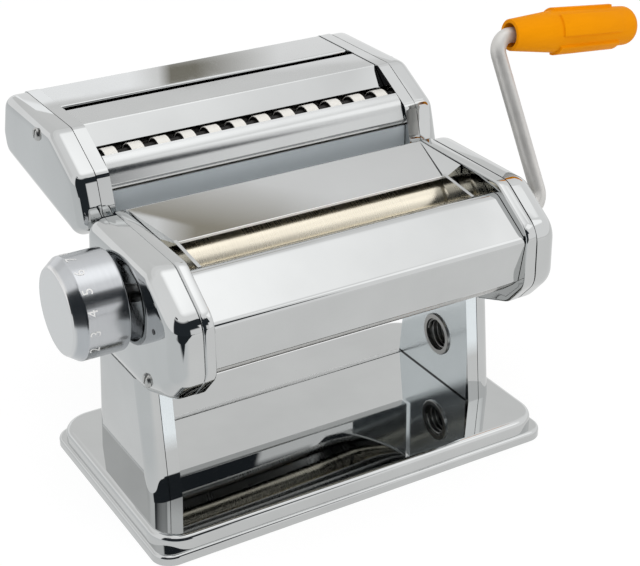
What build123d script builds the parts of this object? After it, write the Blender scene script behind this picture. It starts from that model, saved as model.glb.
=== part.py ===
"""Hand-cranked pasta machine: stand, roller head, thickness regulator, crank and cutter unit.

Millimetres. X runs along the rollers from the knob to the crank, -Y is the front, +Z is up.
The origin is the middle of the underside of the base.
"""

import os
from math import cos, pi, radians, sin

from build123d import *

os.makedirs("parts", exist_ok=True)

# Sheet gauges and clearances
gauge = 1.2
thin_gauge = 1.0
seam = 0.3
running = 0.05
push_fit = 0.02
sliding = 0.3

# Base
base_length = 201.5
base_width = 120.0
base_height = 11.4
rim_height = 4.6
rim_corner = 9.0
rim_round = 1.8
tray_inset = 1.5
tray_corner = 15.0
tray_round = 2.8
tray_wall = 1.6
bottom_gauge = 1.0

# Legs, tapering towards the head
leg_outer_x = 90.0
leg_inner_x = 76.0
leg_seam_x = 82.0
foot_front = -31.0
foot_rear = 30.0
leg_top_front = -25.5
leg_top_rear = 22.0
leg_corner = 6.5
head_bottom = 70.0
panel_rear_inset = 0.3

# Table clamp socket in the right leg
socket_y = -3.3
socket_z = 36.0
socket_bore_r = 8.0
socket_wall = 0.9
socket_flange_r = 10.4
socket_flange = 0.9
socket_length = 9.0

# Head outline in the YZ plane, clockwise from the top rear corner
head_top = 132.0
head_top_rear = 16.0
head_top_front = -47.5
brow_front = -70.5
brow_z = 116.3
chin_z = 91.0
jaw_y = -58.5
jaw_z = 78.0
heel_y = -36.0
head_bottom_rear = 24.0
head_radii = [4.0, 4.0, 6.0, 6.0, 4.0, 8.0, 4.0]
plate_inner_x = 75.0
plate_thick = 5.3
cover_outer_x = 93.0
cover_edge = 3.6
screw_y = -42.0
screw_z = 81.0
screw_r = 1.6
screw_head_r = 3.2
screw_head = 1.4
screw_head_taper = 25.0

# Rollers
roller_r = 13.0
roller_end_gap = 0.4
axis_z = 110.5
drive_y = -40.5
gap_closed = 0.3
gap_open = 4.4
left_journal_r = 6.0
drive_shaft_r = 7.0
bush_wall = 2.0
journal_r = 5.0
gear_teeth = 11
gear_width = 6.0
gear_offset = 1.2
addendum_factor = 1.03
root_gap = 0.35
tooth_root_share = 0.27
tooth_tip_share = 0.075
socket_depth = 14.6
shaft_recess = 0.6
shaft_window = 2.0
tie_rod_r = 4.0
spigot_r = 3.0
tie_rod_points = [(-52.0, 86.0), (9.0, 84.0), (8.5, 122.5)]
scraper_sheet = [(-56.0, 91.2), (-50.0, 91.2), (-43.2, 97.0)]
scraper_radii = [2.0]
guide_inner_x = 66.0
guide_thick = 1.6
guide_front = -41.2
guide_rear = -18.3
guide_low = 117.0
guide_front_z = 125.0
guide_rear_z = 127.6
wing_front = -20.5
wing_low = 126.5
wing_high = 131.0
wing_tip_y = 12.6
wing_tip_z = 131.6

# Regulator: seven settings, one in use at rest
settings = 7
setting_step = 28.0
rest_setting = 3
knob_y = -15.9
knob_z = 107.8
knob_r = 22.0
knob_back_x = 95.8
knob_length = 24.0
knob_chamfer = 5.3
knob_face_r = 18.3
knob_wall = 2.0
knob_cavity_r = 13.0
knob_web = 3.0
knob_web_gap = 6.5
spindle_r = 4.0
spindle_head_r = 8.0
spindle_head = 1.5
head_gap = 1.6
spring_r = 6.8
spring_wire = 1.6
spring_pressed = 5.0
bush_sleeve_r = 6.5
bush_flange_r = 9.5
bush_flange = 1.4
bush_end_x = 96.4
bush_tail = 3.0
knob_face = 2.0
knob_edge = 1.5
cam_r = 8.0
cam_thick = 3.0
cam_pin_r = 1.9
cam_pin_play = 0.75
cam_gap = 0.8
yoke_thick = 2.5
yoke_width = 20.0
yoke_height = 16.0
yoke_rail = 2.5
block_half = 8.0
block_drop = 21.0
block_inset = 0.15
block_proud = 0.2
cradle_bar_r = 2.5
cradle_bar_back = 3.0
cradle_bar_drop = 18.0
rear_scraper_gauge = 1.4
rear_scraper_width = 12.0
scraper_back = 2.0

# Crank
crank_rod_r = 3.6
crank_square = 5.0
crank_square_length = 14.0
crank_arm_x = 106.4
crank_throw = 80.9
crank_lean = 31.5
crank_bend = 8.5
handle_tilt = 5.5
handle_length = 68.0
grip_start = 8.9
grip_length = 72.9
grip_mouth_r = 7.3
grip_waist_r = 9.8
grip_end_r = 9.0
grip_pad_r = 11.1
grip_taper = 23.5
grip_pad_length = 35.0
grip_end_round = 6.0
grip_mouth_bore = 5.6
grip_mouth_depth = 10.0
grip_pad_count = 4
grip_pad_arc = 52.0
grip_pad_draw = 0.7
grip_end_play = 1.0
rod_shoulder = 0.4

# Front cover and hopper sheets of the head, as (y, z) points
front_sheet = [(-57.0, 89.5), (-65.3, 91.0), (-69.6, 112.6), (-45.65, 128.4), (-41.97, 124.72)]
front_radii = [2.0, 4.0, 6.0]
hopper_sheet = [(-18.0, 126.2), (14.6, 131.6), (20.0, 92.0)]
hopper_radii = [2.0]

# Cutter unit
cutter_inner_x = 75.3
cutter_plate_thick = 5.9
cutter_cover_x = 92.0
cutter_axis_z = 141.0
wide_front_y = 41.5
pair_distance = 13.5
narrow_front_y = 70.5
disc_r = 7.5
core_r = 5.7
cutter_journal_r = 4.0
wide_pitch = 12.6
wide_disc_count = 12
narrow_pitch = 5.0
narrow_disc_count = 28
disc_play = 0.3
narrow_side_count = 10
cutter_gear_teeth = 9
cutter_gear_width = 3.6
gear_plane_gap = 0.6
cutter_addendum = 1.4
crank_shaft_r = 5.5
cutter_rod_r = 3.4
cutter_spigot_r = 2.5
cutter_rod_points = [(31.0, 125.0), (100.0, 132.0), (100.0, 149.5)]
cutter_screw_y = 66.0
cutter_screw_z = 151.6
comb_offset = -4.5
comb_width = 5.0
comb_z = 130.0
comb_height = 3.0
finger_offset = -2.0
finger_depth = 3.0
cutter_edge = 3.2
cutter_outline = [
    (109.0, 157.2),
    (51.0, 157.2),
    (27.0, 144.0),
    (24.6, 136.0),
    (20.8, 122.0),
    (32.0, 114.8),
    (113.5, 126.5),
    (116.0, 138.0),
]
cutter_radii = [5.0, 5.0, 5.0, 4.0, 3.0, 5.0, 5.0, 5.0]
lip_sheet = [(29.4, 134.7), (26.4, 137.1), (29.6, 145.6), (34.6, 148.3)]
lip_radii = [1.2, 12.0]
lower_front_sheet = [(29.0, 119.6), (26.6, 122.4), (26.6, 134.6)]
lower_front_radii = [1.5]
slot_width = 5.4
slot_bend = 1.2
slot_depth = 3.2
sheet_bend = 1.8
rear_shoulder_y = 107.5
rear_skirt = [(112.4, 149.0), (113.0, 130.0)]
middle_front_y = 54.0
middle_lip = (45.5, 148.6)
cutter_top = 156.8
tongue_y = 22.4
tongue_width = 4.0
tongue_thick = 2.0
tongue_bottom = 100.0
tongue_top = 124.0
catch_wall = 1.6
catch_bottom = 97.0
catch_top = 113.0

# Values worked out from the sizes above
plate_outer_x = plate_inner_x + plate_thick
cover_inner_x = plate_outer_x + seam
cutter_plate_x = cutter_inner_x + cutter_plate_thick
cutter_cover_inner_x = cutter_plate_x + seam
roller_half = plate_inner_x - roller_end_gap
closed_distance = 2 * roller_r + gap_closed
half_sweep = radians(setting_step * (settings - 1) / 2)
cam_throw = (gap_open - gap_closed) / 2 / sin(half_sweep)
gap_per_radian = (gap_open - gap_closed) / 2 / half_sweep
rest_angle = radians(setting_step * ((settings + 1) / 2 - rest_setting))
rest_shift = gap_per_radian * rest_angle
rest_gap = (gap_open + gap_closed) / 2 + rest_shift
driven_y = drive_y + 2 * roller_r + rest_gap
travel_in = rest_gap - gap_closed
travel_out = gap_open - rest_gap
wide_rear_y = wide_front_y + pair_distance
narrow_rear_y = narrow_front_y + pair_distance
nip_narrow_y = (narrow_front_y + narrow_rear_y) / 2

head_outline = [
    (head_top_rear, head_top),
    (head_top_front, head_top),
    (brow_front, brow_z),
    (brow_front, chin_z),
    (jaw_y, jaw_z),
    (heel_y, head_bottom),
    (head_bottom_rear, head_bottom),
]


def save(piece, name):
    """Label a finished piece and write it to its own file."""
    piece.part.label = name
    export_step(piece.part, f"parts/{name}.step")


def axis_plane(x, y=0.0, z=0.0):
    """Sketch plane square to X whose local axes are Y and Z."""
    return Plane((x, y, z), x_dir=(0, 1, 0), z_dir=(1, 0, 0))


def rounded_face(points, radii):
    """Fill a closed outline with a radius at each corner."""
    with BuildLine() as outline:
        FilletPolyline(*points, radius=radii, close=True)
    make_face(outline.edges())


def bent_sheet(points, radii, thickness, half_width):
    """A folded sheet that runs along X, its thickness to the right of the path."""
    with BuildPart() as sheet:
        with BuildSketch(axis_plane(-half_width)):
            with BuildLine():
                FilletPolyline(*points, radius=radii)
                offset(amount=thickness, side=Side.RIGHT)
            make_face()
        extrude(amount=2 * half_width)
    return sheet


def gear_outline(teeth, pitch_r, addendum, dedendum):
    """Straight-flanked gear outline with a tooth on the local X axis."""
    pitch_angle = 2 * pi / teeth
    flanks = [
        (pitch_r - dedendum, -tooth_root_share),
        (pitch_r + addendum, -tooth_tip_share),
        (pitch_r + addendum, tooth_tip_share),
        (pitch_r - dedendum, tooth_root_share),
    ]
    points = []
    for tooth in range(teeth):
        for radius, share in flanks:
            angle = pitch_angle * (tooth + share)
            points.append((radius * cos(angle), radius * sin(angle)))
    with BuildLine() as outline:
        Polyline(*points, close=True)
    make_face(outline.edges())


def make_gear(name, x, width, y, z, teeth, distance, addendum, bore_r):
    """A spur gear on an axis along X, cut for a pair at the given distance."""
    with BuildPart() as gear:
        with BuildSketch(axis_plane(x, y, z)):
            gear_outline(teeth, distance / 2, addendum, addendum + root_gap)
            Circle(bore_r + push_fit, mode=Mode.SUBTRACT)
        extrude(amount=width)
    save(gear, name)


def turned_bar(steps, y, z):
    """A turned bar on an axis along X, from (x start, x end, radius) steps."""
    for start, end, radius in steps:
        with BuildSketch(axis_plane(start, y, z)) as section:
            Circle(radius)
        extrude(section.sketch, amount=end - start)


def square_socket(mouth_x, depth, y, z):
    """A square drive hole for the crank, cut inwards from a shaft end."""
    with BuildSketch(axis_plane(mouth_x, y, z)) as mouth:
        Rectangle(crank_square + 2 * running, crank_square + 2 * running)
    extrude(mouth.sketch, amount=-depth, mode=Mode.SUBTRACT)


# Base: a raised tray on a rolled rim, pressed from one sheet and open underneath
with BuildPart() as base_plate:
    with BuildSketch():
        RectangleRounded(base_length, base_width, rim_corner)
    extrude(amount=rim_height)
    fillet(base_plate.faces().sort_by(Axis.Z)[-1].edges(), rim_round)
    with BuildSketch(Plane.XY.offset(rim_height)):
        RectangleRounded(base_length - 2 * tray_inset, base_width - 2 * tray_inset, tray_corner)
    extrude(amount=base_height - rim_height)
    fillet(base_plate.faces().sort_by(Axis.Z)[-1].edges(), tray_round)
    with BuildSketch():
        RectangleRounded(base_length - 2 * gauge, base_width - 2 * gauge, rim_corner - gauge)
    extrude(amount=rim_height - gauge, mode=Mode.SUBTRACT)
    hollow_inset = tray_inset + tray_wall
    with BuildSketch(Plane.XY.offset(rim_height - gauge)):
        RectangleRounded(base_length - 2 * hollow_inset, base_width - 2 * hollow_inset, tray_corner - tray_wall)
    extrude(amount=base_height - rim_height, mode=Mode.SUBTRACT)
save(base_plate, "base_plate")

with BuildPart() as bottom_plate:
    shrink = 2 * (gauge + push_fit)
    with BuildSketch():
        RectangleRounded(base_length - shrink, base_width - shrink, rim_corner - shrink / 2)
    extrude(amount=bottom_gauge)
save(bottom_plate, "bottom_plate")


# Legs: an outer shell and an inner channel on each side, both narrower at the top
leg_ends = [(base_height, foot_front, foot_rear), (head_bottom, leg_top_front, leg_top_rear)]


def leg_sections(side, inner_x, outer_x, inset, corner):
    """The two end sections of a tapering leg piece, ready to loft."""
    sections = []
    for z, front, rear in leg_ends:
        with BuildSketch(Plane.XY.offset(z)) as section:
            with BuildLine():
                Polyline(
                    (side * inner_x, front + inset),
                    (side * outer_x, front + inset),
                    (side * outer_x, rear - inset),
                    (side * inner_x, rear - inset),
                    close=True,
                )
            make_face()
            if corner:
                outer = section.vertices().sort_by(Axis.X)
                fillet(outer[-2:] if side > 0 else outer[:2], corner)
        sections.append(section.sketch.face())
    return sections


def make_leg(side, name):
    """Outer leg shell with rounded outer corners, open towards the arch."""
    with BuildPart() as leg:
        loft(leg_sections(side, leg_seam_x, leg_outer_x, 0.0, leg_corner))
        inner = leg_sections(side, leg_seam_x - gauge, leg_outer_x - gauge, gauge, leg_corner - gauge)
        loft(inner, mode=Mode.SUBTRACT)
    save(leg, name)


def make_leg_panel(side, name, hole_r):
    """Inner leg channel whose flanges meet the outer shell at a seam."""
    with BuildPart() as panel:
        loft(leg_sections(side, leg_inner_x, leg_seam_x - seam, 0.0, 0.0))
        loft(leg_sections(side, leg_inner_x + gauge, leg_seam_x, gauge, 0.0), mode=Mode.SUBTRACT)
        if hole_r:
            with BuildSketch(axis_plane(side * leg_inner_x, socket_y, socket_z)):
                Circle(hole_r)
            extrude(amount=side * gauge, mode=Mode.SUBTRACT)
    save(panel, name)


make_leg(-1, "left_leg")
make_leg(1, "right_leg")
make_leg_panel(-1, "left_leg_panel", 0.0)
make_leg_panel(1, "right_leg_panel", socket_bore_r + socket_wall + push_fit)

with BuildPart() as back_panel:
    panel_half = leg_inner_x - push_fit
    with BuildSketch(axis_plane(-panel_half)):
        with BuildLine():
            Polyline(
                (foot_rear - panel_rear_inset, base_height),
                (leg_top_rear - panel_rear_inset, head_bottom),
                (leg_top_rear - panel_rear_inset - gauge, head_bottom),
                (foot_rear - panel_rear_inset - gauge, base_height),
                close=True,
            )
        make_face()
    extrude(amount=2 * panel_half)
save(back_panel, "back_panel")

with BuildPart() as clamp_socket:
    turned_bar(
        [
            (leg_inner_x - socket_flange, leg_inner_x, socket_flange_r),
            (leg_inner_x, leg_inner_x + socket_length, socket_bore_r + socket_wall),
        ],
        socket_y,
        socket_z,
    )
    flange_face = clamp_socket.faces().sort_by(Axis.X)[0]
    fillet(flange_face.edges(), socket_flange / 2)
    with BuildSketch(axis_plane(leg_inner_x - socket_flange, socket_y, socket_z)):
        Circle(socket_bore_r)
    extrude(amount=socket_flange + socket_length, mode=Mode.SUBTRACT)
save(clamp_socket, "clamp_socket")


# Head side plates: the rims that carry the rollers, the covers and the sheets
slot_front = driven_y - block_half - travel_in - sliding
slot_rear = driven_y + block_half + travel_out + sliding
slot_low = axis_z - block_drop - sliding
slot_high = axis_z + block_half + sliding


def make_side_plate(side, name, bush_r):
    """One side plate, pierced for the drive roller, the sliding block and the tie rods."""
    with BuildPart() as plate:
        with BuildSketch(axis_plane(side * plate_inner_x)):
            rounded_face(head_outline, head_radii)
            with Locations((drive_y, axis_z)):
                Circle(bush_r + push_fit, mode=Mode.SUBTRACT)
            with Locations(((slot_front + slot_rear) / 2, (slot_low + slot_high) / 2)):
                Rectangle(slot_rear - slot_front, slot_high - slot_low, mode=Mode.SUBTRACT)
            with Locations(*tie_rod_points):
                Circle(spigot_r + push_fit, mode=Mode.SUBTRACT)
        extrude(amount=side * plate_thick)
    save(plate, name)


make_side_plate(-1, "left_side_plate", left_journal_r + bush_wall)
make_side_plate(1, "right_side_plate", drive_shaft_r + bush_wall)

with BuildPart() as tie_rods:
    for rod_y, rod_z in tie_rod_points:
        turned_bar(
            [
                (-plate_outer_x, -plate_inner_x, spigot_r),
                (-plate_inner_x, plate_inner_x, tie_rod_r),
                (plate_inner_x, plate_outer_x, spigot_r),
            ],
            rod_y,
            rod_z,
        )
save(tie_rods, "tie_rods")

with BuildPart() as roller_bushes:
    for start, shaft_r in ((-plate_outer_x, left_journal_r), (plate_inner_x, drive_shaft_r)):
        with BuildSketch(axis_plane(start, drive_y, axis_z)):
            Circle(shaft_r + bush_wall)
            Circle(shaft_r + running, mode=Mode.SUBTRACT)
        extrude(amount=plate_thick)
save(roller_bushes, "roller_bushes")


# End covers: pressed shells with rolled outer edges
def shell_cover(side, outline, radii, inner_x, outer_x, edge, holes):
    """A pressed end cover, open towards the plate it sits on, with (y, z, r) holes."""
    with BuildPart() as cover:
        with BuildSketch(axis_plane(side * inner_x)):
            rounded_face(outline, radii)
        extrude(amount=side * (outer_x - inner_x))
        ends = cover.faces().filter_by(Axis.X).sort_by(Axis.X)
        fillet((ends[-1] if side > 0 else ends[0]).edges(), edge)
        ends = cover.faces().filter_by(Axis.X).sort_by(Axis.X)
        offset(amount=-gauge, openings=ends[0] if side > 0 else ends[-1])
        for hole_y, hole_z, hole_r in holes:
            with BuildSketch(axis_plane(side * outer_x, hole_y, hole_z)):
                Circle(hole_r)
            extrude(amount=-side * 2 * gauge, mode=Mode.SUBTRACT)
    return cover


cover_screw_hole = (screw_y, screw_z, screw_r + push_fit)
left_end_cover = shell_cover(
    -1, head_outline, head_radii, cover_inner_x, cover_outer_x, cover_edge,
    [(knob_y, knob_z, bush_sleeve_r + push_fit), cover_screw_hole],
)
save(left_end_cover, "left_end_cover")
right_end_cover = shell_cover(
    1, head_outline, head_radii, cover_inner_x, cover_outer_x, cover_edge,
    [(drive_y, axis_z, drive_shaft_r + shaft_window), cover_screw_hole],
)
save(right_end_cover, "right_end_cover")


def make_screws(name, outer_x, plate_x, y, z):
    """A domed screw through each end cover into its side plate."""
    with BuildPart() as screws:
        for side in (-1, 1):
            with BuildSketch(axis_plane(side * plate_x, y, z)):
                Circle(screw_r)
            extrude(amount=side * (outer_x - plate_x))
            with BuildSketch(axis_plane(side * outer_x, y, z)):
                Circle(screw_head_r)
            extrude(amount=side * screw_head, taper=screw_head_taper)
    save(screws, name)


make_screws("cover_screws", cover_outer_x, plate_outer_x, screw_y, screw_z)

with BuildPart() as spindle_bush:
    bush_inner_x = cover_outer_x - gauge - bush_tail
    turned_bar(
        [
            (-bush_end_x, -cover_outer_x - bush_flange, bush_sleeve_r),
            (-cover_outer_x - bush_flange, -cover_outer_x, bush_flange_r),
            (-cover_outer_x, -bush_inner_x, bush_sleeve_r),
        ],
        knob_y,
        knob_z,
    )
    with BuildSketch(axis_plane(-bush_end_x, knob_y, knob_z)):
        Circle(spindle_r + running)
    extrude(amount=bush_end_x - bush_inner_x, mode=Mode.SUBTRACT)
save(spindle_bush, "spindle_bush")


# Sheets of the head
sheet_half = plate_inner_x - seam
front_cover = bent_sheet(front_sheet, front_radii, thin_gauge, sheet_half)
save(front_cover, "front_cover")
rear_hopper = bent_sheet(hopper_sheet, hopper_radii, thin_gauge, sheet_half)
save(rear_hopper, "rear_hopper")
front_scraper = bent_sheet(scraper_sheet, scraper_radii, thin_gauge, sheet_half)
save(front_scraper, "front_scraper")


def make_dough_guide(side, name):
    """A low wall over one end of the rollers, with a wedge behind it that narrows along the hopper."""
    outer_x = side * (sheet_half - seam)
    with BuildPart() as guide:
        with BuildSketch(axis_plane(side * guide_inner_x)):
            with BuildLine() as wall_edge:
                Polyline(
                    (guide_front, guide_low),
                    (guide_rear, guide_low),
                    (guide_rear, guide_rear_z),
                    (guide_front, guide_front_z),
                    close=True,
                )
            make_face(wall_edge.edges())
        extrude(amount=side * guide_thick)
        for y in (drive_y, driven_y - travel_in, driven_y, driven_y + travel_out):
            with BuildSketch(axis_plane(side * guide_inner_x, y, axis_z)):
                Circle(roller_r + sliding)
            extrude(amount=side * guide_thick, mode=Mode.SUBTRACT)
        with BuildSketch(Plane.XZ.offset(-wing_front)) as wedge:
            with BuildLine() as wedge_edge:
                Polyline(
                    (side * guide_inner_x, wing_low),
                    (outer_x, wing_low),
                    (outer_x, wing_high),
                    close=True,
                )
            make_face(wedge_edge.edges())
        loft([wedge.sketch.faces()[0], Vertex(outer_x, wing_tip_y, wing_tip_z)])
    save(guide, name)


make_dough_guide(-1, "left_dough_guide")
make_dough_guide(1, "right_dough_guide")


# Rollers and their gears
main_addendum = addendum_factor * closed_distance / gear_teeth
gear_x = plate_outer_x + gear_offset
drive_end_x = cover_outer_x - shaft_recess

with BuildPart() as drive_roller:
    turned_bar(
        [
            (-plate_outer_x, -roller_half, left_journal_r),
            (-roller_half, roller_half, roller_r),
            (roller_half, drive_end_x, drive_shaft_r),
        ],
        drive_y,
        axis_z,
    )
    square_socket(drive_end_x, socket_depth, drive_y, axis_z)
save(drive_roller, "drive_roller")
make_gear(
    "drive_gear", gear_x, gear_width, drive_y, axis_z, gear_teeth, closed_distance, main_addendum, drive_shaft_r
)

with BuildPart() as driven_roller:
    turned_bar(
        [
            (-plate_outer_x, -roller_half, journal_r),
            (-roller_half, roller_half, roller_r),
            (roller_half, gear_x + gear_width, journal_r),
        ],
        driven_y,
        axis_z,
    )
save(driven_roller, "driven_roller")
make_gear(
    "driven_gear", gear_x, gear_width, driven_y, axis_z, gear_teeth, closed_distance, main_addendum, journal_r
)


# Sliding cradle of the driven roller
bar_y = driven_y + cradle_bar_back
bar_z = axis_z - cradle_bar_drop
block_x = plate_outer_x + block_proud


def make_bearing_block(side, name):
    """A block that slides in the side plate and carries the roller and the cradle bar."""
    with BuildPart() as block:
        with BuildSketch(axis_plane(side * (plate_inner_x + block_inset))):
            with Locations((driven_y, axis_z - (block_drop - block_half) / 2)):
                Rectangle(2 * block_half, block_half + block_drop)
            with Locations((driven_y, axis_z)):
                Circle(journal_r + running, mode=Mode.SUBTRACT)
            with Locations((bar_y, bar_z)):
                Circle(cradle_bar_r + push_fit, mode=Mode.SUBTRACT)
        extrude(amount=side * (block_x - plate_inner_x - block_inset))
    save(block, name)


make_bearing_block(-1, "left_bearing_block")
make_bearing_block(1, "right_bearing_block")

with BuildPart() as cradle_bar:
    turned_bar([(-block_x, block_x, cradle_bar_r)], bar_y, bar_z)
save(cradle_bar, "cradle_bar")

with BuildPart() as rear_scraper:
    with BuildSketch(axis_plane(-sheet_half)):
        with Locations((driven_y + scraper_back, bar_z + cradle_bar_r + seam + rear_scraper_gauge / 2)):
            Rectangle(rear_scraper_width, rear_scraper_gauge)
    extrude(amount=2 * sheet_half)
save(rear_scraper, "rear_scraper")

with BuildPart() as regulator_yoke:
    yoke_slot = 2 * (cam_pin_r + cam_pin_play)
    with BuildSketch(axis_plane(-block_x, knob_y, knob_z)):
        with Locations((rest_shift, 0)):
            Rectangle(yoke_width, yoke_height)
            Rectangle(yoke_slot, yoke_height - 2 * yoke_rail, mode=Mode.SUBTRACT)
    extrude(amount=-yoke_thick)
save(regulator_yoke, "regulator_yoke")


# Regulator: spindle with an eccentric pin, sprung knob on its outer end
knob_plane = Plane((0, knob_y, knob_z), x_dir=(-1, 0, 0), z_dir=(0, 1, 0))
web_x = knob_back_x + knob_web_gap
cavity_x = web_x + knob_web
cam_x = block_x + yoke_thick + cam_gap
knob_front_x = knob_back_x + knob_length
head_x = knob_front_x - knob_face - spindle_head - head_gap

with BuildPart() as regulator_spindle:
    turned_bar(
        [
            (-head_x - spindle_head, -head_x, spindle_head_r),
            (-head_x, -cam_x - cam_thick, spindle_r),
            (-cam_x - cam_thick, -cam_x, cam_r),
        ],
        knob_y,
        knob_z,
    )
    pin_y = knob_y + cam_throw * sin(rest_angle)
    pin_z = knob_z + cam_throw * cos(rest_angle)
    turned_bar([(-cam_x, -block_x - cam_gap, cam_pin_r)], pin_y, pin_z)
save(regulator_spindle, "regulator_spindle")

with BuildPart() as knob:
    with BuildSketch(knob_plane) as knob_section:
        with BuildLine():
            Polyline(
                (knob_back_x, 0),
                (knob_back_x, knob_r),
                (knob_front_x - knob_chamfer, knob_r),
                (knob_front_x, knob_face_r),
                (knob_front_x, 0),
                close=True,
            )
        make_face()
        fillet(knob_section.vertices().group_by(Axis.Y)[1:], knob_edge)
    revolve(axis=Axis((0, knob_y, knob_z), (1, 0, 0)))
    for start, end, radius in (
        (knob_back_x, web_x, knob_r - knob_wall),
        (web_x, cavity_x, spindle_r + running),
        (cavity_x, knob_front_x - knob_face, knob_cavity_r),
    ):
        with BuildSketch(axis_plane(-start, knob_y, knob_z)):
            Circle(radius)
        extrude(amount=start - end, mode=Mode.SUBTRACT)
save(knob, "knob")

with BuildPart() as knob_spring:
    with BuildSketch(axis_plane(-head_x, knob_y, knob_z)):
        Circle(spring_r)
        Circle(spring_r - spring_wire, mode=Mode.SUBTRACT)
    extrude(amount=spring_pressed)
save(knob_spring, "knob_spring")


# Crank: one bent rod with a squared drive end, and a grip that turns on it
lean_sin = sin(radians(crank_lean))
lean_cos = cos(radians(crank_lean))
tilt_sin = sin(radians(handle_tilt))
tilt_cos = cos(radians(handle_tilt))
crank_normal = (0, -lean_cos, lean_sin)
crank_plane = Plane((0, drive_y, axis_z), x_dir=(1, 0, 0), z_dir=crank_normal)
rod_start = cover_outer_x + rod_shoulder
handle_end = (crank_arm_x + handle_length * tilt_cos, crank_throw - handle_length * tilt_sin)

with BuildPart() as crank_rod:
    with BuildLine(crank_plane) as rod_path:
        FilletPolyline((rod_start, 0), (crank_arm_x, 0), (crank_arm_x, crank_throw), handle_end, radius=crank_bend)
    with BuildSketch(axis_plane(rod_start, drive_y, axis_z)):
        Circle(crank_rod_r)
    sweep(path=rod_path.line)
    with BuildSketch(axis_plane(rod_start, drive_y, axis_z)):
        Rectangle(crank_square, crank_square)
    extrude(amount=-crank_square_length)
save(crank_rod, "crank_rod")

handle_corner = crank_plane.from_local_coords((crank_arm_x, crank_throw, 0))
handle_dir = (tilt_cos, -tilt_sin * lean_sin, -tilt_sin * lean_cos)
handle_plane = Plane(handle_corner, x_dir=handle_dir, z_dir=crank_normal)
handle_axis = Axis(handle_corner, handle_dir)
grip_end = grip_start + grip_length
pad_start = grip_start + grip_taper

with BuildPart() as crank_grip:
    with BuildSketch(handle_plane) as grip_section:
        with BuildLine():
            Polyline(
                (grip_start, 0),
                (grip_start, grip_mouth_r),
                (pad_start, grip_waist_r),
                (grip_end, grip_end_r),
                (grip_end, 0),
                close=True,
            )
        make_face()
        fillet(grip_section.vertices().group_by(Axis.X)[-1].sort_by(Axis.Y)[-1], grip_end_round)
    revolve(axis=handle_axis)
    for quarter in range(grip_pad_count):
        pad_plane = handle_plane.rotated((360 * quarter / grip_pad_count - grip_pad_arc / 2, 0, 0))
        with BuildSketch(pad_plane):
            with BuildLine():
                Polyline(
                    (pad_start, grip_mouth_r),
                    (pad_start, grip_pad_r - grip_pad_draw),
                    (pad_start + grip_pad_length, grip_pad_r),
                    (pad_start + grip_pad_length, grip_mouth_r),
                    close=True,
                )
            make_face()
        revolve(axis=handle_axis, revolution_arc=grip_pad_arc)
    bore_plane = Plane(handle_corner, z_dir=handle_dir)
    with BuildSketch(bore_plane.offset(grip_start)):
        Circle(crank_rod_r + running)
    extrude(amount=handle_length + grip_end_play - grip_start, mode=Mode.SUBTRACT)
    with BuildSketch(bore_plane.offset(grip_start)):
        Circle(grip_mouth_bore)
    extrude(amount=grip_mouth_depth, mode=Mode.SUBTRACT)
save(crank_grip, "crank_grip")


# Cutter unit: plates with tongues that drop into catches behind the head
tongue_x = cutter_inner_x + (cutter_plate_thick - tongue_thick) / 2
cutter_axes = [wide_front_y, wide_rear_y, narrow_front_y, narrow_rear_y]
crank_axes = [wide_front_y, narrow_front_y]


def journal_at(side, y):
    """Journal radius of a cutter on one side: the crank shafts are thicker on the right."""
    return crank_shaft_r if side > 0 and y in crank_axes else cutter_journal_r


def make_cutter_plate(side, name):
    """One side plate of the cutter unit with its tongue."""
    with BuildPart() as plate:
        with BuildSketch(axis_plane(side * cutter_inner_x)):
            rounded_face(cutter_outline, cutter_radii)
            for y in cutter_axes:
                with Locations((y, cutter_axis_z)):
                    Circle(journal_at(side, y) + running, mode=Mode.SUBTRACT)
            with Locations(*cutter_rod_points):
                Circle(cutter_spigot_r + push_fit, mode=Mode.SUBTRACT)
        extrude(amount=side * cutter_plate_thick)
        with BuildSketch(axis_plane(side * tongue_x)):
            with Locations((tongue_y + tongue_width / 2, (tongue_bottom + tongue_top) / 2)):
                Rectangle(tongue_width, tongue_top - tongue_bottom)
        extrude(amount=side * tongue_thick)
    save(plate, name)


def make_catch(side, name):
    """Pocket behind the head that takes the tongue of the cutter plate."""
    with BuildPart() as catch:
        pocket_x = tongue_x - sliding
        pocket_thick = tongue_thick + 2 * sliding
        with BuildSketch(axis_plane(side * (pocket_x - catch_wall))):
            with BuildLine():
                Polyline(
                    (head_rear_at(catch_bottom), catch_bottom),
                    (tongue_y + tongue_width + sliding + catch_wall, catch_bottom),
                    (tongue_y + tongue_width + sliding + catch_wall, catch_top),
                    (head_rear_at(catch_top), catch_top),
                    close=True,
                )
            make_face()
        extrude(amount=side * (pocket_thick + 2 * catch_wall))
        with BuildSketch(axis_plane(side * pocket_x)):
            with Locations((tongue_y + tongue_width / 2, (tongue_bottom - sliding + catch_top) / 2)):
                Rectangle(tongue_width + 2 * sliding, catch_top - tongue_bottom + sliding)
        extrude(amount=side * pocket_thick, mode=Mode.SUBTRACT)
    save(catch, name)


def head_rear_at(z):
    """Y of the sloping rear edge of the head at a height."""
    share = (z - head_bottom) / (head_top - head_bottom)
    return head_bottom_rear + (head_top_rear - head_bottom_rear) * share


make_cutter_plate(-1, "cutter_left_plate")
make_cutter_plate(1, "cutter_right_plate")
make_catch(-1, "left_cutter_catch")
make_catch(1, "right_cutter_catch")

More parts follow.
